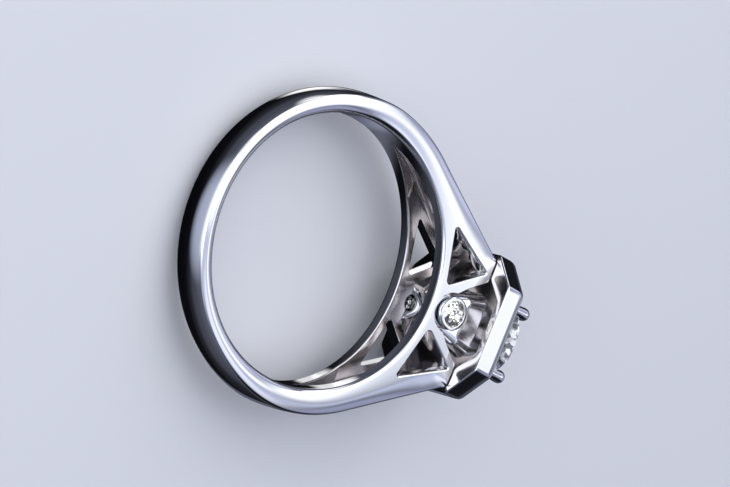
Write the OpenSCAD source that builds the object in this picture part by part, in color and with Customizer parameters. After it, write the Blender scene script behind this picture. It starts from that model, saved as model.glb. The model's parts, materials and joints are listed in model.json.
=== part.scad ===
// Cathedral engagement ring with an octagonal head, lying on its side as it comes to rest.
// Before it is laid down, X runs from the finger to the centre stone, Z along the finger and Y across.

/* [Hoop] */
// Radius of the finger hole
finger_r = 8.25; // [7.5:0.05:9.5]
// Thickness of the metal at the back of the hoop
back_t = 1.3; // [1.2:0.05:1.5]
// How far the outer circle of the hoop is shifted towards the head
hoop_shift = 0.25; // [0:0.05:0.4]
// Half the width of the hoop where it is narrowest
half_w_min = 1.29; // [1.2:0.01:1.5]
// Distance behind the finger's centre where the hoop is narrowest
narrow_x = 6.6; // [5:0.1:8]
// Radius of the long curve that widens each side towards the head
flare_r = 115; // [105:1:140]

/* [Shoulders] */
// Distance from the finger's centre to the end of the shoulders
shoulder_x = 11.42; // [11.2:0.01:11.45]
// Half the distance across the two shoulders at their end
shoulder_y = 4.52; // [4.3:0.01:4.6]
// Thickness of the shoulder's outer skin over the hollow
roof_t = 0.85; // [0.7:0.05:1]
// Where the groove between the two side walls starts
groove_x = 2.3; // [1.5:0.1:3]
// Where the groove has opened into the hollow
hollow_x = 6.2; // [5.5:0.1:7]
// Half the width of the hollow where the groove has opened
hollow_half = 1.15; // [1:0.05:1.25]
// Half the width of the hollow at the head
hollow_half_head = 1.75; // [1.6:0.05:1.85]

/* [Windows] */
// Pointed end of each window, along the ring
window_tip_x = 7.78; // [7.7:0.01:7.9]
// Pointed end of each window, across the ring
window_tip_y = 5.0; // [4.8:0.05:5.1]
// Corner of each window beside the side stone, along the ring
window_in_x = 8.76; // [8.75:0.01:8.95]
// Corner of each window beside the side stone, across the ring
window_in_y = 1.38; // [1.35:0.01:1.6]
// Corner of each window beside the head, along the ring
window_out_x = 11.16; // [11:0.01:11.2]
// Corner of each window beside the head, across the ring
window_out_y = 3.16; // [3:0.01:3.2]
// Radius of the windows' corners
window_corner_r = 0.12; // [0.08:0.01:0.2]
// Half the width of the opening behind the head, at the side stone
throat_y = 1.3; // [1.1:0.05:1.4]
// Half the width of the opening behind the head, at the frame
throat_head_y = 2.85; // [2.7:0.05:2.95]
// How far that opening's corner lies beyond the side stone, along the ring
throat_corner_x = 0.5; // [0.4:0.05:0.6]
// How far that opening widens up to its corner
throat_corner_y = 0.55; // [0.4:0.05:0.6]

/* [Side stones] */
// Distance from the finger's centre to the side stones
bezel_x = 9.87; // [9.8:0.01:9.95]
// Height of the bezels' rims above the middle of the ring
bezel_top = 2.73; // [2.65:0.01:2.85]
// Outer radius of the bezels
bezel_r = 1.05; // [1:0.01:1.1]
// Radius of the pocket that each bezel stands in
bezel_pocket_r = 1.25; // [1.2:0.01:1.3]
// Height of that pocket's floor above the middle of the ring
bezel_floor = 1.85; // [1.8:0.01:1.95]
// Radius of the side stones
side_stone_r = 0.8; // [0.7:0.01:0.82]
// Radius of the hole behind each side stone
bezel_hole_r = 0.55; // [0.4:0.01:0.6]

/* [Octagonal frame] */
// Distance from the finger's centre to the back of the frame
frame_back = 11.5; // [11.5:0.01:11.6]
// Depth of the frame from back to front
frame_depth = 1.55; // [1.4:0.05:1.7]
// Half the size of the frame, flat to flat
frame_half = 4.61; // [4.55:0.01:4.75]
// Half the length of the frame's four straight sides
frame_side = 2.74; // [2.6:0.01:2.9]
// Bevel along the frame's outer edges
frame_bevel = 0.1; // [0.06:0.01:0.25]
// Distance from the centre to the flats of the regular octagonal opening at the back
opening_half = 3.97; // [3.8:0.01:4.05]
// Thickness of the frame's front plate
plate_t = 0.5; // [0.4:0.05:0.6]

/* [Basket and prongs] */
// Distance from the finger's centre to the narrow end of the basket
basket_back = 10.3; // [10.2:0.05:10.4]
// Half the size of the basket's narrow end
basket_back_half = 1.3; // [1.2:0.01:1.32]
// Half the size of the basket where it meets the front plate
basket_front_half = 2.15; // [2.05:0.01:2.25]
// Radius of the basket's rounded corners
basket_corner_r = 0.55; // [0.4:0.05:0.8]
// Thickness of the basket's wall
basket_wall = 0.32; // [0.25:0.01:0.4]
// Radius of the round hole in the front plate
plate_hole_r = 1.75; // [1.6:0.05:1.8]
// Radius of each prong
prong_r = 0.32; // [0.28:0.01:0.36]
// Radius of the rounded tip of each prong
prong_tip_r = 0.35; // [0.3:0.01:0.38]
// Distance of the tips' centres above the girdle
prong_over = 0.4; // [0.35:0.01:0.45]

/* [Centre stone] */
// Radius of the centre stone
stone_r = 2.8; // [2.7:0.01:2.85]
// Distance from the finger's centre to the girdle
stone_x = 15.35; // [15:0.05:15.5]

/* [Fits] */
// Clearance between a stone and its seat
seat_gap = 0.03; // [0.02:0.01:0.05]

/* [Hidden] */
$fn = 180;
// Cut proportions of a round brilliant, as parts of its diameter
table_part = 0.57;
crown_part = 0.155;
girdle_part = 0.03;
pavilion_part = 0.43;
star_part = 0.46;
lower_half_part = 0.78;
hoop_r = finger_r + back_t + hoop_shift;
// Heights of a side stone's girdle and of its bezel's back above the middle of the ring
side_girdle = bezel_top - 0.08;
bezel_back = hollow_half + 0.5;
frame_front = frame_back + frame_depth;
plate_back = frame_front - plate_t;
// Distance of the prongs' centres from the stone's axis
prong_ring = stone_r + 0.17;
// Longer than the whole ring, for cuts that run right through it
reach = 40;

// Half the width of the ring at a distance x along it
function half_width(x) = half_w_min + flare_r - sqrt(pow(flare_r, 2) - pow(x + narrow_x, 2));

// Angle by which the ring tips when the frame and the back of the hoop both touch the table
rest_angle = atan((frame_half - half_width(-finger_r - back_t)) / (frame_back + frame_bevel + finger_r + back_t));

// Lays the ring on its side, with the finger hole's centre staying at the origin
module at_rest() {
    rotate([0, -rest_angle, 0]) children();
}

// Copies a shape to both sides of the plane that the hoop lies in
module both_sides() {
    for (side = [0, 1]) mirror([0, 0, side]) children();
}

// Copies a shape to both sides of the plane through the finger and the stone
module both_shoulders() {
    for (side = [0, 1]) mirror([0, side, 0]) children();
}

// Side view of the hoop and its shoulders, drawn in from the real outline by inset
module side_outline(inset) {
    r = hoop_r - inset;
    run = shoulder_x - hoop_shift;
    end_y = shoulder_y - inset;
    // The shoulder's line leaves the circle where it is tangent to it
    touch = atan2(end_y, run) + acos(r / norm([run, end_y]));
    tangent = [hoop_shift + r * cos(touch), r * sin(touch)];
    translate([hoop_shift, 0]) circle(r = r);
    polygon([tangent, [shoulder_x, end_y], [shoulder_x, -end_y], [tangent.x, -tangent.y]]);
}

// Keeps what lies inside the ring's width, which grows along two long curves
module width_block() {
    difference() {
        translate([-reach / 2, -reach / 2, -reach / 4]) cube([reach, reach, reach / 2]);
        both_sides() translate([-narrow_x, 0, half_w_min + flare_r]) rotate([90, 0, 0])
            cylinder(r = flare_r, h = reach + 2, center = true, $fn = 720);
    }
}

// The hollow between the side walls: a groove that opens towards the head
module hollow() {
    intersection() {
        linear_extrude(height = reach, center = true) {
            side_outline(roof_t);
            translate([shoulder_x - 1, -shoulder_y + roof_t]) square([2, 2 * (shoulder_y - roof_t)]);
        }
        rotate([90, 0, 0]) linear_extrude(height = reach, center = true) polygon([
            [groove_x, 0],
            [hollow_x, hollow_half],
            [shoulder_x + 1, hollow_half_head],
            [shoulder_x + 1, -hollow_half_head],
            [hollow_x, -hollow_half]
        ]);
    }
}

// Points along the rounded corner at b, between the sides that run to a and to c
function unit(v) = v / norm(v);
function corner_points(a, b, c, r) =
    let(u = unit(a - b), v = unit(c - b), half = acos(u * v) / 2, middle = b + unit(u + v) * r / sin(half))
    let(from = atan2((b + u * r / tan(half) - middle).y, (b + u * r / tan(half) - middle).x))
    let(turn = cross(u, v) > 0 ? 2 * half - 180 : 180 - 2 * half)
    [for (k = [0 : 4]) middle + r * [cos(from + turn * k / 4), sin(from + turn * k / 4)]];

// One window through a side wall
module window() {
    tip = [window_tip_x, window_tip_y];
    inner = [window_in_x, window_in_y];
    outer = [window_out_x, window_out_y];
    linear_extrude(height = reach, center = true) polygon(concat(
        corner_points(outer, tip, inner, window_corner_r),
        corner_points(tip, inner, outer, 2 * window_corner_r),
        corner_points(inner, outer, tip, window_corner_r)
    ));
}

// The opening in the side walls between the side stone and the frame
module throat() {
    corner = [bezel_x + throat_corner_x, throat_y + throat_corner_y];
    past = shoulder_x + 0.2;
    linear_extrude(height = reach, center = true) polygon([
        [bezel_x, throat_y],
        corner,
        [past, throat_head_y],
        [past, -throat_head_y],
        [corner.x, -corner.y],
        [bezel_x, -throat_y]
    ]);
}

// Space that a stone takes with its clearance, with the girdle's plane at the origin and the table up
module stone_space(r, gap) {
    girdle = girdle_part * 2 * r;
    rotate_extrude() polygon([
        [0, -pavilion_part * 2 * r - 2 * gap],
        [r + gap, -girdle / 2 - gap / 2],
        [r + gap, girdle / 2 + gap / 2],
        [table_part * r + gap, girdle / 2 + crown_part * 2 * r + gap],
        [0, girdle / 2 + crown_part * 2 * r + gap]
    ]);
}

module band() {
    color("whitesmoke") at_rest() difference() {
        union() {
            difference() {
                intersection() {
                    linear_extrude(height = reach / 2, center = true) side_outline(0);
                    width_block();
                }
                cylinder(r = finger_r, h = reach, center = true);
                hollow();
                both_shoulders() window();
                throat();
                both_sides() translate([bezel_x, 0, bezel_floor]) cylinder(r = bezel_pocket_r, h = 3);
            }
            both_sides() translate([bezel_x, 0, bezel_back]) cylinder(r = bezel_r, h = bezel_top - bezel_back);
        }
        both_sides() translate([bezel_x, 0, 0]) {
            cylinder(r = bezel_hole_r, h = side_girdle);
            translate([0, 0, side_girdle]) stone_space(side_stone_r, seat_gap);
            translate([0, 0, side_girdle]) cylinder(r = side_stone_r + seat_gap, h = 1);
        }
    }
}

// An octagon between two planes across the ring's long axis, with the frame's proportions
module octagon_slab(x, depth, inset) {
    half = frame_half - inset;
    side = frame_side - inset * tan(22.5);
    translate([x, 0, 0]) rotate([90, 0, 90]) linear_extrude(height = depth) polygon([
        [half, side], [side, half], [-side, half], [-half, side],
        [-half, -side], [-side, -half], [side, -half], [half, -side]
    ]);
}

// The bevelled outside of the frame
module frame_block() {
    thin = 0.01;
    hull() {
        octagon_slab(frame_back, thin, frame_bevel);
        octagon_slab(frame_back + frame_bevel, frame_depth - 2 * frame_bevel, 0);
        octagon_slab(frame_front - thin, thin, frame_bevel);
    }
}

// A square with rounded corners across the ring's long axis
module basket_slab(x, depth, half) {
    corners = [[half, half], [-half, half], [-half, -half], [half, -half]];
    translate([x, 0, 0]) rotate([90, 0, 90]) linear_extrude(height = depth) polygon([
        for (k = [0 : 3]) each
            corner_points(corners[(k + 3) % 4], corners[k], corners[(k + 1) % 4], basket_corner_r)
    ]);
}

// The tapered basket, drawn in from its outside by inset and lengthened by past at each end
module basket_block(inset, past) {
    thin = 0.02;
    hull() {
        basket_slab(basket_back - past, thin, basket_back_half - inset);
        basket_slab(plate_back + past, thin, basket_front_half - inset);
    }
}

// One prong, standing on the front plate and rounded over the girdle
module prong() {
    top = stone_x + prong_over;
    rotate([45, 0, 0]) translate([plate_back, 0, prong_ring]) rotate([0, 90, 0]) {
        cylinder(r = prong_r, h = top - plate_back, $fn = 32);
        translate([0, 0, top - plate_back]) sphere(r = prong_tip_r, $fn = 32);
    }
}

module setting() {
    color("gainsboro") at_rest() difference() {
        union() {
            difference() {
                frame_block();
                translate([frame_back - 1, 0, 0]) rotate([0, 90, 0]) rotate([0, 0, 22.5])
                    cylinder(r = opening_half / cos(22.5), h = plate_back - frame_back + 1, $fn = 8);
            }
            basket_block(0, 0);
            for (turn = [0 : 90 : 270]) rotate([turn, 0, 0]) prong();
        }
        // The basket is open from the finger's side to the hole in the front plate
        basket_block(basket_wall, 0.05);
        translate([plate_back - 1, 0, 0]) rotate([0, 90, 0]) cylinder(r = plate_hole_r, h = 2);
        translate([stone_x, 0, 0]) rotate([0, 90, 0]) stone_space(stone_r, seat_gap);
    }
}

// Round brilliant with its girdle's middle at the origin and its table up
module brilliant(r) {
    table_r = table_part * r;
    table_z = (girdle_part / 2 + crown_part) * 2 * r;
    girdle_z = girdle_part * r;
    culet_z = -(girdle_part / 2 + pavilion_part) * 2 * r;
    // Side corners of the crown's kites, and of the pavilion's long facets
    star_r = (table_r + star_part * (r - table_r)) / cos(22.5);
    star_z = table_z - (star_r * cos(22.5) - table_r) / (r - table_r) * (table_z - girdle_z);
    lower_r = (1 - lower_half_part) * r;
    lower_z = culet_z + lower_r * cos(22.5) / r * (-girdle_z - culet_z);
    points = concat(
        [for (k = [0 : 7]) [table_r * cos(45 * k), table_r * sin(45 * k), table_z]],
        [for (k = [0 : 7]) [star_r * cos(45 * k + 22.5), star_r * sin(45 * k + 22.5), star_z]],
        [for (k = [0 : 15]) [r * cos(22.5 * k), r * sin(22.5 * k), girdle_z]],
        [for (k = [0 : 15]) [r * cos(22.5 * k), r * sin(22.5 * k), -girdle_z]],
        [for (k = [0 : 7]) [lower_r * cos(45 * k + 22.5), lower_r * sin(45 * k + 22.5), lower_z]],
        [[0, 0, culet_z]]
    );
    // First point of each ring: stars 8, upper girdle 16, lower girdle 32, lower halves 48, culet 56
    faces = concat(
        [[for (k = [7 : -1 : 0]) k]],
        [for (k = [0 : 7]) [k, (k + 1) % 8, 8 + k]],
        [for (k = [0 : 7]) [k, 8 + k, 16 + 2 * k, 8 + (k + 7) % 8]],
        [for (k = [0 : 7]) [8 + k, 17 + 2 * k, 16 + 2 * k]],
        [for (k = [0 : 7]) [8 + k, 16 + (2 * k + 2) % 16, 17 + 2 * k]],
        [for (k = [0 : 15]) [16 + k, 16 + (k + 1) % 16, 32 + (k + 1) % 16, 32 + k]],
        [for (k = [0 : 7]) [32 + 2 * k, 33 + 2 * k, 48 + k]],
        [for (k = [0 : 7]) [33 + 2 * k, 32 + (2 * k + 2) % 16, 48 + k]],
        [for (k = [0 : 7]) [32 + 2 * k, 48 + k, 56, 48 + (k + 7) % 8]]
    );
    polyhedron(points, faces);
}

module centre_stone() {
    color("azure") at_rest() translate([stone_x, 0, 0]) rotate([0, 90, 0]) brilliant(stone_r);
}

module side_stone() {
    translate([bezel_x, 0, side_girdle]) brilliant(side_stone_r);
}

module side_stone_upper() {
    color("azure") at_rest() side_stone();
}

module side_stone_lower() {
    color("azure") at_rest() mirror([0, 0, 1]) side_stone();
}

band();
setting();
centre_stone();
side_stone_upper();
side_stone_lower();
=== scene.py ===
import json
import math

import bmesh
import bpy
import numpy as np
from mathutils import Matrix, Vector


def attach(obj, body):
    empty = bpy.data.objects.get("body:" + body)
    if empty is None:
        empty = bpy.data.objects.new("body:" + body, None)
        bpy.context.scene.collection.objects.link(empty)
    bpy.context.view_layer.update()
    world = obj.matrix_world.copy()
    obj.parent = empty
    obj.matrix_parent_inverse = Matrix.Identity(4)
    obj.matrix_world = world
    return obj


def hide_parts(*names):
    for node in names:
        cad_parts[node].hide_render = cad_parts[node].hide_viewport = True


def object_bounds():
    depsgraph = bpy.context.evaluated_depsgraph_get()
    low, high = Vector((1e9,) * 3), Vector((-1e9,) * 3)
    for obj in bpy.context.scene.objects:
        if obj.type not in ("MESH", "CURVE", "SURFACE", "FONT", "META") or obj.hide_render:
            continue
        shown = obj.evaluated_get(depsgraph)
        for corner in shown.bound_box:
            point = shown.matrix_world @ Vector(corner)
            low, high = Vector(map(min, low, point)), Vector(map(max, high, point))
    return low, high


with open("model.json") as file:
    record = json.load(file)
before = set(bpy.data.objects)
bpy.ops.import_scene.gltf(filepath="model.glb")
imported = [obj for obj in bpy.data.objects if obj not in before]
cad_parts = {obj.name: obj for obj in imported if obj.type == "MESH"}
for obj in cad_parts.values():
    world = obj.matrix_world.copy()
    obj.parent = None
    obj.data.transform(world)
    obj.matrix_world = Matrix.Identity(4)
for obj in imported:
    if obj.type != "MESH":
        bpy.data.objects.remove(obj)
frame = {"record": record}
cad_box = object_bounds()


# The band is the finger hoop with its two hollow shoulders, cast in one piece of white gold. Its back is
# filed round, the shoulders stay flat-sided and end against the head, and the whole outside is rhodium
# plated and polished to a mirror. This first part makes the solid casting, before anything is cut in it.
finger_radius = 8.25
hoop_radius = 9.798
hoop_shift = 0.25
shoulder_end = 11.42
shoulder_half = 4.52
casting_end = 12.3
fade_start = 11.5
fade_end = 11.95
narrowest_half_width = 1.29
narrowest_at = -6.6
flare_radius = 115
crest_from_outside = 1.4
# Some sizes change along the ring: the size behind the finger, the size by the head, and from where to where.
comfort_round = (0.42, 0.23, 1, 6.5)
outer_round = (0.27, 0.22, -2, 4)
inner_crown = (0.05, 0.02, 0, 6)
outer_crown = (0.05, 0.12, 0, 6)
dome_curve = (0.3, 0.03, -5.5, 1.5)


def half_width(x):
    """Half the width of the ring at a distance x along it: a long arc that is lowest behind the finger."""
    return narrowest_half_width + flare_radius - np.sqrt(flare_radius**2 - (x - narrowest_at) ** 2)


def ease(value, start, end):
    """Rises from 0 at start to 1 at end along the curve 3t² - 2t³."""
    t = np.clip((value - start) / (end - start), 0, 1)
    return t * t * (3 - 2 * t)


def along_ring(x, size):
    """A size that eases, with the distance x along the ring, from its first value to its second."""
    behind, by_head, start, end = size
    return behind + (by_head - behind) * ease(x, start, end)


def between(count):
    """Evenly spread shares of the way from one end to the other, without the two ends."""
    return np.linspace(0, 1, count + 2)[1:-1]


def outline_distance(angle, inset=0.0, end=casting_end):
    """Distance from the finger's centre to the side view's outline, drawn in by inset, in the direction
    angle. The outline is the hoop's circle, then the shoulder's tangent line, then a straight end across
    the ring. Gives also the angle at the hoop's centre where the line touches the circle."""
    least_cosine = 0.1
    radius = hoop_radius - inset
    run, rise = shoulder_end - hoop_shift, shoulder_half - inset
    touch = math.atan2(rise, run) + math.acos(radius / math.hypot(run, rise))
    touch_x, touch_y = hoop_shift + radius * math.cos(touch), radius * math.sin(touch)
    slope = np.abs(angle)
    hoop = hoop_shift * np.cos(slope) + np.sqrt(radius**2 - (hoop_shift * np.sin(slope)) ** 2)
    line = (hoop_shift * math.cos(touch) + radius) / np.maximum(np.cos(slope - touch), least_cosine)
    shoulder = np.minimum(line, end / np.maximum(np.cos(slope), least_cosine))
    return np.where(slope > math.atan2(touch_y, touch_x), hoop, shoulder), touch


def outline_normal(angle):
    """Outward direction of the side view's outline: away from the circle's centre on the hoop, and square to
    the tangent line on the shoulders."""
    distance, touch = outline_distance(angle)
    from_centre = np.arctan2(distance * np.sin(angle), distance * np.cos(angle) - hoop_shift)
    turned = np.where(np.abs(from_centre) < touch, np.sign(from_centre + 1e-12) * touch, from_centre)
    return np.stack([np.cos(turned), np.sin(turned)], -1)


def filled_mesh(name, points, ends=False):
    """Skin over a grid of points whose columns run round a closed section, with one face for each cell. The
    rows run round too, or, with ends, the first and the last are each shut with one flat face. The faces are
    turned to point outwards, by the sign of the volume that they enclose."""
    rows, columns = points.shape[:2]
    row = np.arange(rows - 1 if ends else rows)[:, None]
    column = np.arange(columns)[None, :]
    next_row, next_column = (row + 1) % rows, (column + 1) % columns
    cells = np.stack(np.broadcast_arrays(
        row * columns + column, row * columns + next_column,
        next_row * columns + next_column, next_row * columns + column,
    ), -1).reshape(-1, 4)
    flat = points.reshape(-1, 3)
    a, b, c, d = np.moveaxis(flat[cells] - flat.mean(0), 1, 0)
    volume = (np.cross(a, b) * c).sum() + (np.cross(a, c) * d).sum()
    faces = cells.tolist()
    if ends:
        faces += [list(range(columns))[::-1], list(range((rows - 1) * columns, rows * columns))]
    if volume < 0:
        faces = [face[::-1] for face in faces]
    mesh = bpy.data.meshes.new(name)
    mesh.from_pydata(flat.tolist(), [], faces)
    mesh.validate()
    return mesh


def new_piece(name, mesh):
    """Puts a mesh into the scene as an object at the origin."""
    piece = bpy.data.objects.new(name, mesh)
    bpy.context.scene.collection.objects.link(piece)
    return piece


def casting_points(stations=360, round_steps=15, side_steps=14, dome_steps=15, bore_steps=7):
    """The uncut band, as closed sections that stand on rays from the finger's centre. Each section has a flat
    bore with rounded comfort edges, crowned sides and a domed outside, blended by rounds. A side falls away
    from its crest as the square of the distance, more so towards the outside on the shoulders. The dome is
    the parabola b = c z², deep behind the finger and nearly flat on the shoulders. The outer round meets it
    where both lean alike, at an angle that a few repeats of its formula settle. Round, crown and dome fade
    out past the shoulder's end, where the casting is cut off later."""
    least_depth = 0.2
    angle = np.linspace(-np.pi, np.pi, stations, endpoint=False)[:, None]
    ray = np.stack([np.cos(angle), np.sin(angle)], -1)
    outer = outline_distance(angle)[0][..., None] * ray
    inner = finger_radius * ray
    normal = outline_normal(angle)
    x_out, x_in = outer[..., 0], inner[..., 0]
    fading = np.clip((fade_end - x_out) / (fade_end - fade_start), 0.03, 1)
    round_in = along_ring(x_in, comfort_round)
    round_out = along_ring(x_out, outer_round) * fading
    crown_in = along_ring(x_in, inner_crown)
    crown_out = along_ring(x_out, outer_crown) * fading
    dome = along_ring(x_out, dome_curve) * fading
    depth = np.linalg.norm(outer - inner, axis=-1) - round_in - round_out
    crest = 1 - np.clip(crest_from_outside / np.maximum(depth, least_depth), 0.3, 0.5)
    lean_in = np.arctan(2 * crown_in / np.maximum(crest * depth, least_depth))
    lean_out = np.arctan(2 * crown_out / np.maximum((1 - crest) * depth, least_depth))
    height = half_width(x_out) - crown_out - round_out * np.cos(lean_out)
    tip = np.zeros_like(height)
    for _ in range(12):
        tip = np.arctan(2 * dome * (height + round_out * np.sin(tip)))
    joint = height + round_out * np.sin(tip)
    centre_depth = dome * joint**2 + round_out * np.cos(tip)

    def placed(xy, drop):
        """Raises points of the side view to the ring's half width there, less drop."""
        return np.concatenate([xy, (half_width(xy[..., 0]) - drop)[..., None]], -1)

    share = np.linspace(0, 1, round_steps)
    turn = (np.pi / 2 - lean_in) * share
    comfort_xy = inner + (round_in * (1 - np.cos(turn)))[..., None] * ray
    comfort = placed(comfort_xy, crown_in + round_in * (np.cos(lean_in) - np.sin(turn)))
    turn = (np.pi / 2 - lean_out) + (tip - np.pi / 2 + lean_out) * share
    rounding_xy = outer - (centre_depth - round_out * np.cos(turn))[..., None] * normal
    rounding = placed(rounding_xy, crown_out + round_out * (np.cos(lean_out) - np.sin(turn)))
    share = between(side_steps)
    side_xy = comfort_xy[:, -1:] + (rounding_xy[:, :1] - comfort_xy[:, -1:]) * share[:, None]
    inwards = np.clip((crest - share) / crest, 0, 1)
    outwards = np.clip((share - crest) / (1 - crest), 0, 1)
    side = placed(side_xy, crown_in * inwards**2 + crown_out * outwards**2)
    dome_z = rounding[:, -1:, 2] * (1 - 2 * between(dome_steps))
    dome_xy = outer - (dome * dome_z**2)[..., None] * normal
    back = np.concatenate([dome_xy, dome_z[..., None]], -1)
    upper = np.concatenate([comfort, side, rounding], 1)
    lower = upper[:, ::-1] * [1, 1, -1]
    bore_z = comfort[:, :1, 2] * (2 * between(bore_steps) - 1)
    bore_xy = np.broadcast_to(inner, (*bore_z.shape, 2))
    bore = np.concatenate([bore_xy, bore_z[..., None]], -1)
    return np.concatenate([upper, back, lower, bore], 1)


def white_gold(name, tones, gloss_range, grain, relief):
    """Rhodium-plated white gold whose gloss and tone wander with a fine noise, over a relief of the same
    noise: nearly none on polished faces, and more where only a brush and no buffing wheel reaches."""
    material = bpy.data.materials.new(name)
    material.use_nodes = True
    nodes, links = material.node_tree.nodes, material.node_tree.links
    shader = nodes["Principled BSDF"]
    shader.inputs["Metallic"].default_value = 1
    place = nodes.new("ShaderNodeTexCoord")
    wander = nodes.new("ShaderNodeTexNoise")
    wander.inputs["Scale"].default_value = grain
    wander.inputs["Detail"].default_value = 3
    links.new(place.outputs["Object"], wander.inputs["Vector"])
    gloss = nodes.new("ShaderNodeMapRange")
    gloss.inputs["To Min"].default_value, gloss.inputs["To Max"].default_value = gloss_range
    links.new(wander.outputs["Fac"], gloss.inputs["Value"])
    links.new(gloss.outputs["Result"], shader.inputs["Roughness"])
    tone = nodes.new("ShaderNodeValToRGB")
    for element, colour in zip(tone.color_ramp.elements, tones):
        element.color = (*colour, 1)
    links.new(wander.outputs["Fac"], tone.inputs["Fac"])
    links.new(tone.outputs["Color"], shader.inputs["Base Color"])
    bump = nodes.new("ShaderNodeBump")
    bump.inputs["Strength"].default_value = relief
    bump.inputs["Distance"].default_value = 0.00002
    links.new(wander.outputs["Fac"], bump.inputs["Height"])
    links.new(bump.outputs["Normal"], shader.inputs["Normal"])
    return material


polished_tones = [(0.83, 0.84, 0.875), (0.88, 0.885, 0.9)]
brushed_tones = [(0.66, 0.615, 0.605), (0.82, 0.785, 0.775)]
polished_gold = white_gold("polished_gold", polished_tones, gloss_range=(0.045, 0.1), grain=260, relief=0.02)
brushed_gold = white_gold("brushed_gold", brushed_tones, gloss_range=(0.09, 0.2), grain=1100, relief=0.3)

band_mesh = filled_mesh("band_metal", casting_points())
band_mesh.materials.append(polished_gold)
band_mesh.materials.append(brushed_gold)
band = new_piece("band_metal", band_mesh)


# The band is then hollowed from the finger's side: a groove that opens into a wide hollow towards the head,
# which leaves two side walls under an outer skin. The walls are pierced by windows, and by a throat behind
# the head. Each cut flares at its mouth, because the edges are broken and polished by hand.
skin = 0.85
groove_start = 2.3
groove_open = 6.2
groove_tip_half = 0.012
groove_open_half = 1.15
hollow_head_half = 1.75
hollow_end = 12.6
hollow_reach_in = 0.4
hollow_corner = 0.3
hollow_lip = 0.12
# The share of its full depth that the hollow has in the groove's tip and beyond, and from where to where.
hollow_depth_share = (0.03, 1, 2.1, 5.2)
window_corners = [(11.16, 3.16), (7.78, 5.0), (8.76, 1.38)]
window_rounds = [0.12, 0.12, 0.24]
window_lips = (0.1, 0.06)
throat_corners = [(9.67, -1.15), (10.37, -1.85), (11.62, -2.85), (11.62, 2.85), (10.37, 1.85), (9.67, 1.15)]
throat_rounds = [0.1, 0.25, 0.1, 0.1, 0.25, 0.1]
throat_lips = (0.08, 0.05)
side_stone_at = 9.87
pocket_radius = 1.25
pocket_floor = 1.85
pocket_lip = 0.08
# Height over the pocket's floor, and how much narrower the pocket is there.
pocket_foot = [(0.05, 0), (0.015, 0.015), (0, 0.05)]
stone_hole_radius = 0.55
stone_hole_half = 2.2


def broken_lip(radius, above=0.03, steps=9):
    """How a cut widens at its mouth, by a quarter round of that radius: depths below the surface, and the
    widening at each. The round stops at 72 degrees, before it would lie flat in the surface. The first row,
    above the surface, goes on from there with 0.6 times the round's slope."""
    turn = np.radians(np.linspace(72, 0, steps))
    depth = radius * (1 - np.sin(turn))
    widening = radius * (1 - np.cos(turn))
    start_widening = widening[0] + (above + depth[0]) * math.tan(turn[0]) * 0.6
    return np.concatenate([[-above], depth]), np.concatenate([[start_widening], widening])


def hollow_half(x):
    """Half the width at a distance x along the ring, in straight lines: of the groove, then of the hollow."""
    places = [groove_start, groove_open, shoulder_end + 1]
    return np.interp(x, places, [groove_tip_half, groove_open_half, hollow_head_half])


def hollow_points(stations=150, wall_steps=6, corner_steps=10):
    """The hollow's own shape, as closed sections on rays from the finger's centre: a lip that widens into the
    bore, two walls, and a roof under the skin with rounded corners. In the groove's tip it starts shallow,
    and its lip and corners shrink with its width and depth."""
    thinnest = 0.004
    reach = math.acos(groove_start / finger_radius)
    angle = np.linspace(-reach, reach, stations)[:, None]
    x_bore = finger_radius * np.cos(angle)
    full_depth = outline_distance(angle, skin, hollow_end)[0] - finger_radius
    depth = full_depth * along_ring(x_bore, hollow_depth_share)
    half = hollow_half(x_bore)
    lip = np.minimum(hollow_lip * ease(half, 0, 0.4) + groove_tip_half, 0.3 * depth)
    corner = np.minimum(np.minimum(hollow_corner, 0.6 * half), 0.5 * depth)
    lip_depth, lip_widening = broken_lip(1.0, above=0.15)
    mouth_distance = finger_radius + lip * lip_depth
    mouth_widening = lip * lip_widening
    wall_start, wall_end = mouth_distance[:, -1:], finger_radius + depth - corner
    wall_distance = wall_start + (wall_end - wall_start) * between(wall_steps)
    turn = np.radians(np.linspace(0, 90, corner_steps))
    corner_distance = finger_radius + depth - corner * (1 - np.sin(turn))
    corner_narrowing = corner * (1 - np.cos(turn))
    bottom_distance = np.full_like(depth, finger_radius - hollow_reach_in)
    distance = np.concatenate([bottom_distance, mouth_distance, wall_distance, corner_distance], 1)
    bottom_widening, wall_widening = mouth_widening[:, :1], 0 * wall_distance
    widening = np.concatenate([bottom_widening, mouth_widening, wall_widening, -corner_narrowing], 1)
    x, y = distance * np.cos(angle), distance * np.sin(angle)
    z = np.maximum(hollow_half(np.maximum(x, x_bore)) + widening, thinnest)
    upper = np.stack([x, y, z], -1)
    return np.concatenate([upper, upper[:, ::-1] * [1, 1, -1]], 1)


def flat_cross(a, b):
    """Cross product of flat vectors, which is positive where b turns to the left of a."""
    return a[..., 0] * b[..., 1] - a[..., 1] * b[..., 0]


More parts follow.
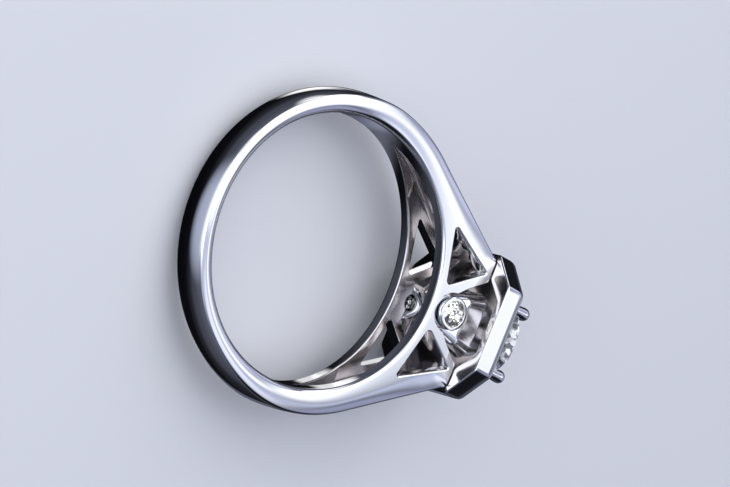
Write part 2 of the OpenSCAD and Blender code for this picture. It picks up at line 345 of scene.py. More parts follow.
def rounded_outline(corners, radii, arc_steps=9, edge_steps=6):
    """Closed outline through straight edges and corner arcs, with the outward direction at each point. An arc
    of radius r in a corner of half angle h touches the edges at r / tan h from the corner, and its middle is
    r / sin h away from it."""
    corners = np.asarray(corners, float)
    radii = np.broadcast_to(radii, len(corners)).astype(float)[:, None]
    back, on = np.roll(corners, 1, 0) - corners, np.roll(corners, -1, 0) - corners
    turns_left = np.sign(flat_cross(-back, on).sum())
    back /= np.linalg.norm(back, axis=1, keepdims=True)
    on /= np.linalg.norm(on, axis=1, keepdims=True)
    half = np.arccos(np.clip((back * on).sum(1, keepdims=True), -1, 1)) / 2
    inwards = (back + on) / np.linalg.norm(back + on, axis=1, keepdims=True)
    middle = corners + inwards * radii / np.sin(half)
    first, last = corners + back * radii / np.tan(half), corners + on * radii / np.tan(half)
    start = np.arctan2(*(first - middle).T[::-1])[:, None]
    sweep = (np.arctan2(*(last - middle).T[::-1])[:, None] - start + np.pi) % (2 * np.pi) - np.pi
    angle = start + sweep * np.linspace(0, 1, arc_steps)
    arc = np.stack([np.cos(angle), np.sin(angle)], -1)
    bend = np.sign(flat_cross(-back, on)) * turns_left
    share = between(edge_steps - 1)[:, None]
    edge = last[:, None] + (np.roll(first, -1, 0) - last)[:, None] * share
    across = turns_left * np.stack([on[:, 1], -on[:, 0]], -1)
    points = np.concatenate([middle[:, None] + radii[:, None] * arc, edge], 1)
    directions = np.concatenate([arc * bend[:, None, None], np.broadcast_to(across[:, None], edge.shape)], 1)
    return points.reshape(-1, 2), directions.reshape(-1, 2)


def circle_outline(x, radius, steps):
    """A circle in the side view, round a place on the ring's long axis, with its outward directions."""
    angle = np.linspace(0, 2 * np.pi, steps, endpoint=False)
    directions = np.stack([np.cos(angle), np.sin(angle)], -1)
    return [x, 0] + radius * directions, directions


def outline_rows(outline, directions, surface, depth, widening):
    """An outline repeated at some depths below a surface, each time widened by so much. The surface is given
    by its height at each point of the outline, or by one height."""
    depth, widening = np.asarray(depth, float), np.asarray(widening, float)
    xy = outline + directions * widening[:, None, None]
    z = np.broadcast_to(surface - depth[:, None], xy.shape[:2])
    return np.concatenate([xy, z[..., None]], -1)


def through_points(outline, directions, outer_lip, inner_lip):
    """A cut through both side walls: the outline carried along the finger's axis, widened by a lip at each of
    the four surfaces that it goes through."""
    x = outline[:, 0]
    depth, widening = broken_lip(outer_lip)
    outer = outline_rows(outline, directions, half_width(x), depth, widening)
    depth, widening = broken_lip(inner_lip)
    inner = outline_rows(outline, directions, hollow_half(x), -depth[::-1], widening[::-1])
    upper = np.concatenate([outer, inner])
    return np.concatenate([upper, upper[::-1] * [1, 1, -1]])


def pocket_points():
    """The round pocket for a bezel: a circle carried along the finger's axis into the side wall, widened by a
    lip at its mouth and narrowed by a small round at its floor."""
    outline, directions = circle_outline(side_stone_at, pocket_radius, 72)
    mouth = outline_rows(outline, directions, half_width(outline[:, 0]), *broken_lip(pocket_lip))
    height, narrowing = np.array(pocket_foot).T
    foot = outline_rows(outline, directions, pocket_floor, -height, -narrowing)
    return np.concatenate([mouth, foot])


def slab_points(low, high):
    """A box between two corners, as two square sections."""
    (x0, y0, z0), (x1, y1, z1) = low, high
    return np.array([[(x, y0, z0), (x, y1, z0), (x, y1, z1), (x, y0, z1)] for x in (x0, x1)], float)


window, window_out = rounded_outline(window_corners, window_rounds)
throat, throat_out = rounded_outline(throat_corners, throat_rounds)
stone_hole, stone_hole_out = circle_outline(side_stone_at, stone_hole_radius, 48)
cutters = {
    "end": slab_points((shoulder_end, -8, -6), (14, 8, 6)),
    "hollow": hollow_points(),
    "window_upper": through_points(window, window_out, *window_lips),
    "window_lower": through_points(window * [1, -1], window_out * [1, -1], *window_lips),
    "throat": through_points(throat, throat_out, *throat_lips),
    "pocket_near": pocket_points(),
    "pocket_far": pocket_points() * [1, 1, -1],
    "stone_holes": outline_rows(stone_hole, stone_hole_out, 0, (stone_hole_half, -stone_hole_half), (0, 0)),
}
brushed_cuts = ("hollow", "stone_holes")


def cut_away(piece, name, points, finish=0):
    """Cuts a shape out of a piece with an exact Boolean, and removes the cutter. The cut's faces take the
    finish with that number among the piece's own."""
    shape = filled_mesh(name, points, ends=True)
    for material in piece.data.materials:
        shape.materials.append(material)
    shape.polygons.foreach_set("material_index", np.full(len(shape.polygons), finish, np.int32))
    cutter = new_piece(name, shape)
    boolean = piece.modifiers.new(name, "BOOLEAN")
    boolean.operation = "DIFFERENCE"
    boolean.solver = "EXACT"
    boolean.object = cutter
    result = bpy.data.meshes.new_from_object(piece.evaluated_get(bpy.context.evaluated_depsgraph_get()))
    piece.modifiers.clear()
    uncut = piece.data
    piece.data = result
    bpy.data.meshes.remove(uncut)
    bpy.data.meshes.remove(cutter.data)


for name, points in cutters.items():
    cut_away(band, name, points, finish=int(name in brushed_cuts))


# The finished band is laid down on the table, as every piece of the ring is after it. Its faces are smoothed
# over their shallow edges, so that mirror images run on across them as they do on buffed metal.
hole_axis = frame["record"]["mounts"][0]["axis"]


def lay_down(mesh):
    """Takes a mesh in millimetres beside the standing ring, with X towards the stone and Z along the finger,
    turns it about Y by the angle at which the ring rests on the table, and makes it metres."""
    points = np.empty(3 * len(mesh.vertices), np.float32)
    mesh.vertices.foreach_get("co", points)
    x, y, z = points.reshape(-1, 3).astype(float).T
    sine, cosine = -hole_axis[0], hole_axis[2]
    laid = np.stack([x * cosine - z * sine, y, x * sine + z * cosine], -1) / 1000
    mesh.vertices.foreach_set("co", laid.astype(np.float32).ravel())


def laid_and_smoothed(piece, sharp=34):
    """Lays a finished piece down on the table and smooths its shading, except over edges sharper than that
    angle in degrees. Large faces decide the shading, so flat faces stay flat between their rounded edges."""
    mesh = piece.data
    lay_down(mesh)
    mesh.polygons.foreach_set("use_smooth", np.ones(len(mesh.polygons), bool))
    mesh.set_sharp_from_angle(angle=math.radians(sharp))
    mesh.update()
    shading = piece.modifiers.new("shading", "WEIGHTED_NORMAL")
    shading.mode = "FACE_AREA"
    shading.keep_sharp = True


laid_and_smoothed(band, sharp=13)
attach(band, "root")
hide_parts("band")


# Each side stone sits in a bezel: a turned collar of white gold, soldered into the pocket in the side wall.
# Its rim is rolled over the stone's girdle and polished, and a hole behind the stone lets light in.
bezel_back = 1.65
bezel_top = 2.73
# Radius and height of each corner: up the outside, over the rim to its lip, and down past the girdle's seat.
bezel_profile = [
    (1.05, bezel_back), (1.05, bezel_top), (0.81, bezel_top), (0.805, 2.69),
    (0.86, 2.66), (0.86, 2.59), (0.56, 2.05), (0.56, bezel_back),
]
bezel_rounds = [0.03, 0.1, 0.04, 0.01, 0.01, 0.01, 0.05, 0.03]


def turned_points(profile, steps=96):
    """A closed profile of radius and height, turned round its axis."""
    angle = np.linspace(0, 2 * np.pi, steps, endpoint=False)[:, None]
    radius, height = profile[:, 0], profile[:, 1]
    return np.stack(np.broadcast_arrays(radius * np.cos(angle), radius * np.sin(angle), height), -1)


def metal_piece(name, points, node, brushed_from=None):
    """A closed piece of polished white gold, laid down with the ring, that stands for part of a CAD node.
    From one of its sections on, its faces may be only brushed."""
    piece = new_piece(name, filled_mesh(name, points))
    piece.data.materials.append(polished_gold)
    if brushed_from is not None:
        piece.data.materials.append(brushed_gold)
        section = np.arange(len(piece.data.polygons)) // points.shape[1]
        piece.data.polygons.foreach_set("material_index", (section >= brushed_from).astype(np.int32))
    laid_and_smoothed(piece)
    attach(piece, "root")
    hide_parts(node)


collar = turned_points(rounded_outline(bezel_profile, bezel_rounds, arc_steps=7, edge_steps=3)[0])
for name, side in (("bezel_upper", 1), ("bezel_lower", -1)):
    metal_piece(name, (collar + [side_stone_at, 0, 0]) * [1, 1, side], "band")


# The head's frame is a deep octagonal bezel of white gold with flat, polished sides, soldered to the ends of
# the shoulders. It is open behind, down to the plate that its front is closed with round the centre stone.
frame_back = 11.5
frame_front = 13.05
frame_flat = 4.61
frame_diagonal = 5.197
frame_corner = 0.5
front_round = 0.22
front_crown = 0.6
front_strip = 0.12
outer_rim_round = 0.11
inner_rim_round = 0.16
opening_flat = 3.97
opening_corner = 0.12
plate_back = 12.55
plate_fillet = 0.1
plate_hole = 1.75
plate_hole_round = 0.06
plate_strip = 0.04


def octagon(flat, diagonal, corner):
    """An octagon across the ring's long axis, from the distances of its flats and of its diagonal sides."""
    long, short = flat, diagonal * math.sqrt(2) - flat
    corners = [
        (long, -short), (long, short), (short, long), (-short, long),
        (-long, short), (-long, -short), (-short, -long), (short, -long),
    ]
    return rounded_outline(corners, corner, arc_steps=9, edge_steps=8)[0]


def frame_points():
    """The frame's section, carried round the octagon: rim, outside, front and hole, then the plate's back and
    the inside. Each edge is a quarter round, whose rows step inwards as they step along the ring. A narrow
    strip of each flat face lies beside the round, so that the round's shading ends there. Gives also the
    number of the row at which the plate's back begins."""
    rows = []

    def outside(step):
        """The octagon round the outside, drawn in by step."""
        return octagon(frame_flat - step, frame_diagonal - step, frame_corner)

    def inside(step):
        """The octagon of the opening, let out by step."""
        return octagon(opening_flat + step, opening_flat + step, opening_corner)

    def fillet(step):
        """The octagon of the opening, drawn in by step."""
        return inside(-step)

    def hole(step):
        """The plate's round hole, let out by step, with its points in line with the octagon's."""
        way = np.arctan2(*outside(0).T[::-1])
        return (plate_hole + step) * np.stack([np.cos(way), np.sin(way)], -1)

    def edge(x, direction, radius, loop, entering, along=None, steps=8):
        """Adds a quarter round at x, or a quarter ellipse that is that long along the ring. It starts on the
        wall, or on the flat face where entering is true."""
        turns = np.radians(np.linspace(0, 90, steps))
        for turn in turns[::-1] if entering else turns:
            reach = (along or radius) * (1 - math.sin(turn))
            rows.append((x + direction * reach, loop(radius * (1 - math.cos(turn)))))

    edge(frame_back, 1, outer_rim_round, outside, entering=True)
    edge(frame_front, -1, front_round, outside, entering=False, along=front_crown, steps=14)
    rows.append((frame_front, outside(front_round + front_strip)))
    rows.append((frame_front, hole(plate_hole_round + plate_strip)))
    edge(frame_front, -1, plate_hole_round, hole, entering=True)
    edge(plate_back, 1, plate_hole_round, hole, entering=False)
    back_of_plate = len(rows)
    rows.append((plate_back, hole(plate_hole_round + plate_strip)))
    rows.append((plate_back, fillet(plate_fillet + plate_strip)))
    edge(plate_back, -1, plate_fillet, fillet, entering=True)
    edge(frame_back, 1, inner_rim_round, inside, entering=False)
    points = np.array([np.concatenate([np.full((len(loop), 1), x), loop], -1) for x, loop in rows])
    return points, back_of_plate


octagon_frame, back_of_plate = frame_points()
metal_piece("head_frame", octagon_frame, "setting", brushed_from=back_of_plate)


# Inside the frame, a tapered basket of white gold carries the centre stone. It is a square cup with four ribs
# at its corners, in line with the prongs. Its sides are filed hollow between the ribs and end in arches, and
# it is soldered to the front plate and polished.
basket_back = 10.3
basket_front = plate_back + 0.06
basket_back_half = 1.3
basket_front_half = 2.15
basket_corner = 0.42
basket_wall = 0.3
basket_arch = 0.75
basket_flute = 0.05


def basket_points(steps=14):
    """A rounded square that widens evenly towards the plate. In the middle of each side the wall is filed
    in, and ends early, by the share cos²(2a) of the angle a round the ring's long axis. The rim is a half
    round."""
    corners = [(1, -1), (1, 1), (-1, 1), (-1, -1)]
    square = rounded_outline(corners, basket_corner, arc_steps=steps, edge_steps=steps)[0]
    mid_side = np.cos(2 * np.arctan2(square[:, 1], square[:, 0])) ** 2
    back = basket_back + basket_arch * mid_side
    rim = basket_wall / 2

    def wall(share, inset, past=0.0):
        """One row of the wall, that share of the way from the plate to the rim and as far past it as past
        says, drawn in by inset."""
        x = basket_front + (back + rim - basket_front) * share
        half = np.interp(x, [basket_back, basket_front], [basket_back_half, basket_front_half])
        half = half * (1 - basket_flute * share * mid_side) - inset
        return np.concatenate([(x - past)[:, None], square * half[:, None]], -1)

    turns = np.pi * between(11)
    rows = [wall(share, 0) for share in np.linspace(0, 1, steps)]
    rows += [wall(1, rim * (1 - math.cos(turn)), rim * math.sin(turn)) for turn in turns]
    rows += [wall(share, basket_wall) for share in np.linspace(1, 0, steps)]
    return np.array(rows)


metal_piece("basket", basket_points(), "setting")


# The centre stone and the side stones are round brilliants, cut and polished facet by facet on a lap. Their
# girdles are left round, so the facets end in the scalloped line that a real girdle has.
stone_radius = 2.8
stone_at = 15.35
side_stone_radius = 0.82
side_stone_girdle = 2.65
table_part = 0.57
crown_part = 0.155
girdle_part = 0.03
pavilion_part = 0.43
star_part = 0.46
lower_half_part = 0.78
blank_part = 1.2


def facet_corners(radius):
    """Three corners of each facet of a brilliant, with its girdle's middle at the origin and its table up."""
    table = table_part * radius
    table_z = (girdle_part / 2 + crown_part) * 2 * radius
    girdle_z = girdle_part * radius
    culet_z = -(girdle_part / 2 + pavilion_part) * 2 * radius
    cosine = math.cos(math.pi / 8)
    star = (table + star_part * (radius - table)) / cosine
    star_z = table_z - (star * cosine - table) / (radius - table) * (table_z - girdle_z)
    lower = (1 - lower_half_part) * radius
    lower_z = culet_z + lower * cosine / radius * (-girdle_z - culet_z)

    def at(distance, turn, z):
        """A corner at a distance from the stone's axis, after so many sixteenths of a turn."""
        angle = turn * math.pi / 8
        return np.array([distance * math.cos(angle), distance * math.sin(angle), z])

    yield at(table, 0, table_z), at(table, 4, table_z), at(table, 8, table_z)
    for k in range(0, 16, 2):
        yield at(table, k, table_z), at(table, k + 2, table_z), at(star, k + 1, star_z)
        yield at(table, k, table_z), at(star, k + 1, star_z), at(star, k - 1, star_z)
        yield at(star, k + 1, star_z), at(radius, k, girdle_z), at(radius, k + 1, girdle_z)
        yield at(star, k + 1, star_z), at(radius, k + 1, girdle_z), at(radius, k + 2, girdle_z)
        yield at(0, 0, culet_z), at(lower, k + 1, lower_z), at(lower, k - 1, lower_z)
        yield at(lower, k + 1, lower_z), at(radius, k, -girdle_z), at(radius, k + 1, -girdle_z)
        yield at(lower, k + 1, lower_z), at(radius, k + 1, -girdle_z), at(radius, k + 2, -girdle_z)


def cut_brilliant(name, radius, girdle_steps):
    """Cuts each facet's plane off a round blank, which leaves the round girdle between crown and pavilion."""
    blank = bmesh.new()
    depth = 2 * blank_part * radius
    bmesh.ops.create_cone(
        blank, cap_ends=True, segments=girdle_steps, radius1=radius, radius2=radius, depth=depth)
    for corners in facet_corners(radius):
        a, b, c = (Vector(corner) for corner in corners)
        normal = (b - a).cross(c - a).normalized()
        if normal.dot(a) < 0:
            normal.negate()
        geometry = list(blank.verts) + list(blank.edges) + list(blank.faces)
        cut = bmesh.ops.bisect_plane(
            blank, geom=geometry, plane_co=a, plane_no=normal, clear_outer=True, dist=1e-5 * radius)
        edges = [e for e in cut["geom_cut"] if isinstance(e, bmesh.types.BMEdge)]
        bmesh.ops.contextual_create(blank, geom=edges)
    bmesh.ops.remove_doubles(blank, verts=blank.verts, dist=2e-4 * radius)
    bmesh.ops.recalc_face_normals(blank, faces=blank.faces)
    mesh = bpy.data.meshes.new(name)
    blank.to_mesh(mesh)
    blank.free()
    return mesh


def diamond(name, tint, cell_size, tilt, mirror, clear, behind):
    """Polished diamond. What a cut stone shows is mostly light thrown back from its far facets, in many small
    patches that each look another way. So the clear stone is crossed by small cells, each tilted at random by
    up to that share of its normal, and part of it mirrors. The pavilion's facets get a base colour darkened
    to the share behind: painted shade, because a stone seen from behind looks dark, as its pavilion throws
    the light forward. Faint clouds dull the polish a little."""
    material = bpy.data.materials.new(name)
    material.use_nodes = True
    nodes, links = material.node_tree.nodes, material.node_tree.links
    shader = nodes["Principled BSDF"]
    shader.inputs["Transmission Weight"].default_value = clear
    shader.inputs["IOR"].default_value = 2.417
    shader.inputs["Metallic"].default_value = mirror
    # Painted shade: facets that aren't marked front get a base colour darkened to the share behind.
    front = nodes.new("ShaderNodeAttribute")
    front.attribute_name = "front"
    painted_shade = nodes.new("ShaderNodeMapRange")
    painted_shade.inputs["To Min"].default_value = behind
    links.new(front.outputs["Fac"], painted_shade.inputs["Value"])
    colour = nodes.new("ShaderNodeVectorMath")
    colour.operation = "SCALE"
    colour.inputs[0].default_value = tint
    links.new(painted_shade.outputs["Result"], colour.inputs["Scale"])
    links.new(colour.outputs["Vector"], shader.inputs["Base Color"])
    place = nodes.new("ShaderNodeTexCoord")
    clouds = nodes.new("ShaderNodeTexNoise")
    clouds.inputs["Scale"].default_value = 900
    links.new(place.outputs["Object"], clouds.inputs["Vector"])
    polish = nodes.new("ShaderNodeMapRange")
    polish.inputs["To Min"].default_value = 0
    polish.inputs["To Max"].default_value = 0.01
    links.new(clouds.outputs["Fac"], polish.inputs["Value"])
    links.new(polish.outputs["Result"], shader.inputs["Roughness"])
    cells = nodes.new("ShaderNodeTexVoronoi")
    cells.inputs["Scale"].default_value = 1000 / cell_size
    links.new(place.outputs["Object"], cells.inputs["Vector"])
    lean = nodes.new("ShaderNodeVectorMath")
    lean.operation = "MULTIPLY_ADD"
    lean.inputs[1].default_value = (2 * tilt, 2 * tilt, 2 * tilt)
    lean.inputs[2].default_value = (-tilt, -tilt, -tilt)
    links.new(cells.outputs["Color"], lean.inputs[0])
    facet = nodes.new("ShaderNodeNewGeometry")
    leaning = nodes.new("ShaderNodeVectorMath")
    links.new(facet.outputs["Normal"], leaning.inputs[0])
    links.new(lean.outputs["Vector"], leaning.inputs[1])
    outwards = nodes.new("ShaderNodeVectorMath")
    outwards.operation = "NORMALIZE"
    links.new(leaning.outputs["Vector"], outwards.inputs[0])
    links.new(outwards.outputs["Vector"], shader.inputs["Normal"])
    return material


# behind is the share of the base colour left on each stone's pavilion facets: painted shade.
centre_diamond = diamond(
    "centre_diamond", tint=(1, 1, 1), cell_size=0.32, tilt=0.24, mirror=0.5, clear=0.8, behind=0.9)
side_diamond = diamond(
    "side_diamond", tint=(1, 1, 0.9), cell_size=0.13, tilt=0.36, mirror=0.85, clear=1, behind=0.2)


def set_stone(node, radius, material, turn, place, girdle_steps):
    """Cuts a stone, marks the facets that face up or sideways as its front, which the material's painted
    shade leaves bright, turns it from table up to the way that it faces, and sets it in its place."""
    mesh = cut_brilliant(node + "_cut", radius, girdle_steps)
    # Facets that face down are left out of front, so the diamond's painted shade darkens them.
    front = mesh.attributes.new("front", "FLOAT", "FACE")
    front.data.foreach_set("value", [float(face.normal.z > -0.1) for face in mesh.polygons])
    mesh.transform(Matrix.Translation(place) @ turn)
    lay_down(mesh)
    mesh.materials.append(material)
    stone = new_piece(node + "_cut", mesh)
    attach(stone, "root")
    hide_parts(node)


facing_out = Matrix.Rotation(math.pi / 2, 4, "Y")
facing_up = Matrix.Identity(4)
facing_down = Matrix.Rotation(math.pi, 4, "X")
set_stone("centre_stone", stone_radius, centre_diamond, facing_out, (stone_at, 0, 0), 128)
for node, facing, side in (("side_stone_upper", facing_up, 1), ("side_stone_lower", facing_down, -1)):
    place = (side_stone_at, 0, side * side_stone_girdle)
    set_stone(node, side_stone_radius, side_diamond, facing, place, 64)


# Four round prongs of white gold hold the centre stone. They are soldered to the front plate, notched for the
# girdle with a bur, and their tips are rounded over the crown and polished.
prong_radius = 0.37
prong_tip_radius = 0.42
prong_ring = 2.97
prong_over = 0.33
prong_foot = frame_front - 0.1
prong_swells_from = 0.7
prong_point = 0.004
seat_gap = 0.03
seat_radius = stone_radius + seat_gap
seat_half = girdle_part * stone_radius + seat_gap
seat_bottom = -2.6
seat_top = 1.1
seat_point = 0.005
table_height = (girdle_part + 2 * crown_part) * stone_radius
# Radius and height of the stone with the gap round it, from below the culet over girdle and table.
seat_profile = np.array([
    (seat_point, seat_bottom), (seat_radius, -seat_half), (seat_radius, seat_half),
    (table_part * stone_radius, table_height + seat_gap), (seat_point, seat_top),
])


def prong_points(steps=32):
    """A round post that swells slightly into a dome at its tip, as circles along the ring's long axis."""
    angle = np.linspace(0, 2 * np.pi, steps, endpoint=False)
    top = stone_at + prong_over
    rise = np.linspace(0, 1, 14)
    turn = np.linspace(0, np.pi / 2, 9)[1:]
    x = np.concatenate([prong_foot + (top - prong_foot) * rise, top + prong_tip_radius * np.sin(turn)])
    swell = prong_radius + (prong_tip_radius - prong_radius) * ease(rise, prong_swells_from, 1)
    dome = np.maximum(prong_tip_radius * np.cos(turn), prong_point)
    radius = np.concatenate([swell, dome])[:, None]
    return np.stack(np.broadcast_arrays(x[:, None], radius * np.cos(angle), radius * np.sin(angle)), -1)


seat_points = np.roll(turned_points(seat_profile).swapaxes(0, 1), 1, -1) + [stone_at, 0, 0]
for k in range(4):
    around = math.radians(45 + 90 * k)
    centre = np.array([0, prong_ring * math.cos(around), prong_ring * math.sin(around)])
    prong_mesh = filled_mesh(f"prong_{k + 1}", prong_points() + centre, ends=True)
    prong_mesh.materials.append(polished_gold)
    prong = new_piece(f"prong_{k + 1}", prong_mesh)
    cut_away(prong, "stone_seat", seat_points)
    laid_and_smoothed(prong)
    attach(prong, "root")
    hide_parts("setting")


# The ring lies on a plain, pale, matt floor in a dim room, under soft boxes that hang and stand around it.
# The floor is left out of mirror images, so that the polished metal keeps the dark tones of the room.
floor_level = cad_box[0].z
floor_clearance = 0.00002
bpy.ops.mesh.primitive_plane_add(size=3, location=(0, 0, 0))
floor = bpy.context.object
floor.name = "floor"
floor.data.transform(Matrix.Translation((0, 0, floor_level - floor_clearance)))
floor.visible_glossy = False
floor_material = bpy.data.materials.new("pale_floor")
floor_material.use_nodes = True
floor_shader = floor_material.node_tree.nodes["Principled BSDF"]
floor_shader.inputs["Base Color"].default_value = (0.8, 0.805, 0.82, 1)
floor_shader.inputs["Roughness"].default_value = 0.6
floor.data.materials.append(floor_material)


# The room is a bluish grey that brightens from below upwards. Round dark corners dim it, and round dim walls
# add light to it, so that each polished face mirrors the tone that it has between the lamps.
room_tint = (0.71, 0.765, 1)
# elevation, grey
room_greys = [
    (-90, 0.004), (-46, 0.006), (-30, 0.024), (-12, 0.09),
    (8, 0.15), (59, 0.17), (70, 0.82), (90, 0.82),
]
dark_corners = [
    # azimuth, elevation, full within, gone beyond, part of the light that is left
    (-56, 26, 15, 36, 0.08),
    (48, -3, 6, 15, 0.12),
    (31, 70, 4, 10, 0.4),
]
dim_walls = [
    # azimuth, elevation, full within, gone beyond, brightness, colour
    (-172, 0, 8, 42, 0.5, (0.7, 0.78, 1)),
    (-145, 45, 10, 34, 0.4, (0.8, 0.86, 1)),
    (38, 36, 10, 30, 0.3, (0.58, 0.64, 1)),
    (26, 42, 6, 16, 0.42, (0.84, 0.85, 1)),
    (13, 56, 5, 11, 1, (0.95, 0.97, 1)),
    (-22, 44, 8, 20, 0.32, (0.64, 0.69, 1)),
    (-11, -43, 3, 14, 0.16, (0.66, 0.72, 1)),
    (0, 10, 10, 24, 0.32, (0.85, 0.89, 1)),
    (55, 22, 6, 14, 0.45, (0.9, 0.93, 1)),
    (88, 1, 5, 15, 0.9, (1, 1, 1)),
    (88, 17, 8, 18, 0.6, (1, 1, 1)),
    (142, 20, 8, 17, 0.7, (0.95, 0.97, 1)),
    (62, -40, 4, 11, 1.1, (1, 1, 1)),
    (-50, 70, 6, 17, 0.4, (0.95, 0.95, 1)),
    (46, -44, 4, 10, 0.8, (1, 1, 1)),
]


def direction_of(azimuth, elevation):
    """The direction at an azimuth from X and an elevation above the floor, both in degrees."""
    turn, rise = math.radians(azimuth), math.radians(elevation)
    return Vector((math.cos(rise) * math.cos(turn), math.cos(rise) * math.sin(turn), math.sin(rise)))


def product(tree, factors):
    """The product of some outputs of a node tree, as one output."""
    result = factors[0]
    for factor in factors[1:]:
        times = tree.nodes.new("ShaderNodeMath")
        times.operation = "MULTIPLY"
        tree.links.new(result, times.inputs[0])
        tree.links.new(factor, times.inputs[1])
        result = times.outputs[0]
    return result


world = bpy.data.worlds.new("room")
bpy.context.scene.world = world
world.use_nodes = True
room_nodes, room_links = world.node_tree.nodes, world.node_tree.links
room_place = room_nodes.new("ShaderNodeTexCoord")


def room_patch(azimuth, elevation, full, gone, within, beyond):
    """A number for each direction in the room: one value within full degrees of the patch's middle, another
    beyond gone degrees of it, and a smooth step between the two."""
    towards = room_nodes.new("ShaderNodeVectorMath")
    towards.operation = "DOT_PRODUCT"
    towards.inputs[1].default_value = direction_of(azimuth, elevation)
    room_links.new(room_place.outputs["Generated"], towards.inputs[0])
    patch = room_nodes.new("ShaderNodeMapRange")
    patch.interpolation_type = "SMOOTHSTEP"
    patch.inputs["From Min"].default_value = math.cos(math.radians(gone))
    patch.inputs["From Max"].default_value = math.cos(math.radians(full))
    patch.inputs["To Min"].default_value = beyond
    patch.inputs["To Max"].default_value = within
    room_links.new(towards.outputs["Value"], patch.inputs["Value"])
    return patch.outputs["Result"]


room_split = room_nodes.new("ShaderNodeSeparateXYZ")
room_links.new(room_place.outputs["Generated"], room_split.inputs["Vector"])
room_height = room_nodes.new("ShaderNodeMapRange")
room_height.inputs["From Min"].default_value = -1
room_links.new(room_split.outputs["Z"], room_height.inputs["Value"])
room_levels = room_nodes.new("ShaderNodeValToRGB")
room_levels.color_ramp.interpolation = "EASE"
while len(room_levels.color_ramp.elements) < len(room_greys):
    room_levels.color_ramp.elements.new(0.5)
for step, (elevation, grey) in zip(room_levels.color_ramp.elements, room_greys):
    step.position = (math.sin(math.radians(elevation)) + 1) / 2
    step.color = (*(grey * part for part in room_tint), 1)
room_links.new(room_height.outputs["Result"], room_levels.inputs["Fac"])
room_links.new(room_levels.outputs["Color"], room_nodes["Background"].inputs["Color"])
shades = [room_patch(*where, within=left, beyond=1) for *where, left in dark_corners]
room_links.new(product(world.node_tree, shades), room_nodes["Background"].inputs["Strength"])
room_glow = room_nodes["Background"].outputs["Background"]
for *where, brightness, colour in dim_walls:
    wall = room_nodes.new("ShaderNodeBackground")
    wall.inputs["Color"].default_value = (*colour, 1)
    room_links.new(room_patch(*where, within=brightness, beyond=0), wall.inputs["Strength"])
    added = room_nodes.new("ShaderNodeAddShader")
    room_links.new(room_glow, added.inputs[0])
    room_links.new(wall.outputs["Background"], added.inputs[1])
    room_glow = added.outputs["Shader"]
room_links.new(room_glow, room_nodes["World Output"].inputs["Surface"])


# Three soft boxes light the ring, each a lamp behind white cloth. One hangs over the ring, and its polished
# sides mirror it. A dimmer one stands on the left, and a narrow one low down behind the ring.
soft_box_fade = 0.5
soft_boxes = [
    # name, azimuth, elevation, distance, width, height, brightness, colour
    ("soft_box_above", 100, 60, 300, 430, 390, 1.5, (0.95, 0.97, 1)),
    ("soft_box_left", 180, 30, 280, 400, 300, 1.4, (0.94, 0.96, 1)),
    ("soft_box_low", 80, 26, 300, 90, 260, 1.2, (1, 1, 1)),
]


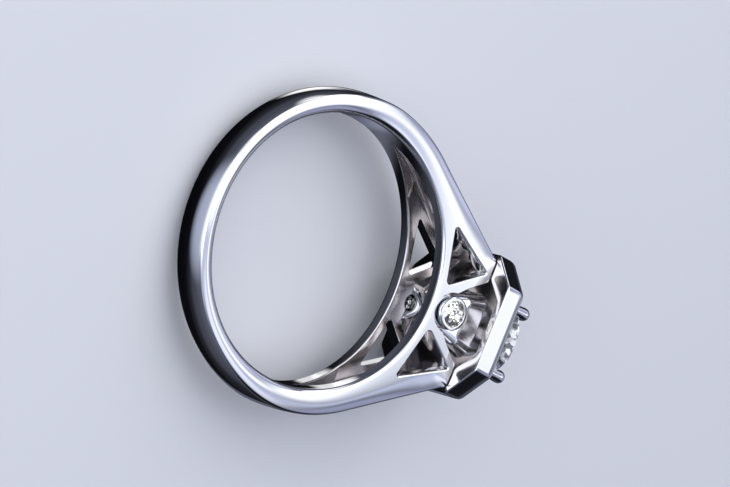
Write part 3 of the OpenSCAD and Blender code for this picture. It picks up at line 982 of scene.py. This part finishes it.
def soft_box(name, direction, distance, width, height, brightness, fade, colour):
    """A rectangular light in millimetres that faces the ring from a direction. It is brightest in its middle
    and fades towards its edges, over that part of its half size, as cloth in front of a lamp does."""
    light = bpy.data.lights.new(name, "AREA")
    light.shape = "RECTANGLE"
    light.size = width / 1000
    light.size_y = height / 1000
    light.energy = brightness * math.pi * light.size * light.size_y
    light.color = colour
    light.use_nodes = True
    nodes, links = light.node_tree.nodes, light.node_tree.links
    across = nodes.new("ShaderNodeNewGeometry")
    split = nodes.new("ShaderNodeSeparateXYZ")
    links.new(across.outputs["Parametric"], split.inputs["Vector"])
    fades = []
    for axis in ("X", "Y"):
        offset = nodes.new("ShaderNodeMath")
        offset.operation = "SUBTRACT"
        offset.inputs[1].default_value = 0.5
        links.new(split.outputs[axis], offset.inputs[0])
        from_middle = nodes.new("ShaderNodeMath")
        from_middle.operation = "ABSOLUTE"
        links.new(offset.outputs[0], from_middle.inputs[0])
        dim = nodes.new("ShaderNodeMapRange")
        dim.interpolation_type = "SMOOTHSTEP"
        dim.inputs["From Min"].default_value = 0.5
        dim.inputs["From Max"].default_value = 0.5 - 0.5 * fade
        links.new(from_middle.outputs[0], dim.inputs["Value"])
        fades.append(dim.outputs["Result"])
    links.new(product(light.node_tree, fades), nodes["Emission"].inputs["Strength"])
    lamp = bpy.data.objects.new(name, light)
    bpy.context.scene.collection.objects.link(lamp)
    lamp.location = direction * distance / 1000
    lamp.rotation_euler = direction.to_track_quat("Z", "Y").to_euler()
    return lamp


for name, azimuth, elevation, distance, width, height, brightness, colour in soft_boxes:
    direction = direction_of(azimuth, elevation)
    soft_box(name, direction, distance, width, height, brightness, soft_box_fade, colour)


# Three faint lights just over the floor shine up inside the hoop, as light does that a floor throws back. The
# bore mirrors them, and the camera doesn't see them.
glow_fade = 0.9
glow_colour = (0.72, 0.78, 1)
glows = [
    # name, place from the finger's centre, width and height, brightness, height over the floor
    ("glow_middle", (-1, -1), (14, 14), 0.1, 0.2),
    ("glow_by_the_head", (6.2, -0.2), (6, 9), 0.1, 0.25),
    ("glow_far", (4.4, 7.3), (6, 5), 0.18, 0.25),
]
for name, (x, y), size, brightness, lift in glows:
    depth = -1000 * floor_level - lift
    glow = soft_box(name, Vector((0, 0, -1)), depth, *size, brightness, glow_fade, glow_colour)
    glow.location.xy = (x / 1000, y / 1000)
    glow.visible_camera = False


# The camera stands where the photograph was taken from, close above the ring, rolled so that the ring's head
# points to the right of the picture.
camera_azimuth = -170.298
camera_elevation = 41.459
camera_roll = math.radians(-105.799)
camera_distance = 0.178754
camera_aim = Vector((0.001650, 0.001388, 0.002105))
away = direction_of(camera_azimuth, camera_elevation)
level = (-away).cross(Vector((0, 0, 1))).normalized()
upright = level.cross(-away)
picture_up = math.cos(camera_roll) * upright + math.sin(camera_roll) * level
picture_right = (-away).cross(picture_up)
camera_data = bpy.data.cameras.new("camera")
camera_data.sensor_width = 36
camera_data.sensor_fit = "HORIZONTAL"
camera_data.lens = 147.95
camera_data.clip_start = 0.005
camera = bpy.data.objects.new("camera", camera_data)
bpy.context.scene.collection.objects.link(camera)
turned = Matrix((picture_right, picture_up, away)).transposed()
camera.matrix_world = Matrix.Translation(camera_aim + away * camera_distance) @ turned.to_4x4()
bpy.context.scene.camera = camera
bpy.context.scene.view_settings.view_transform = "Standard"
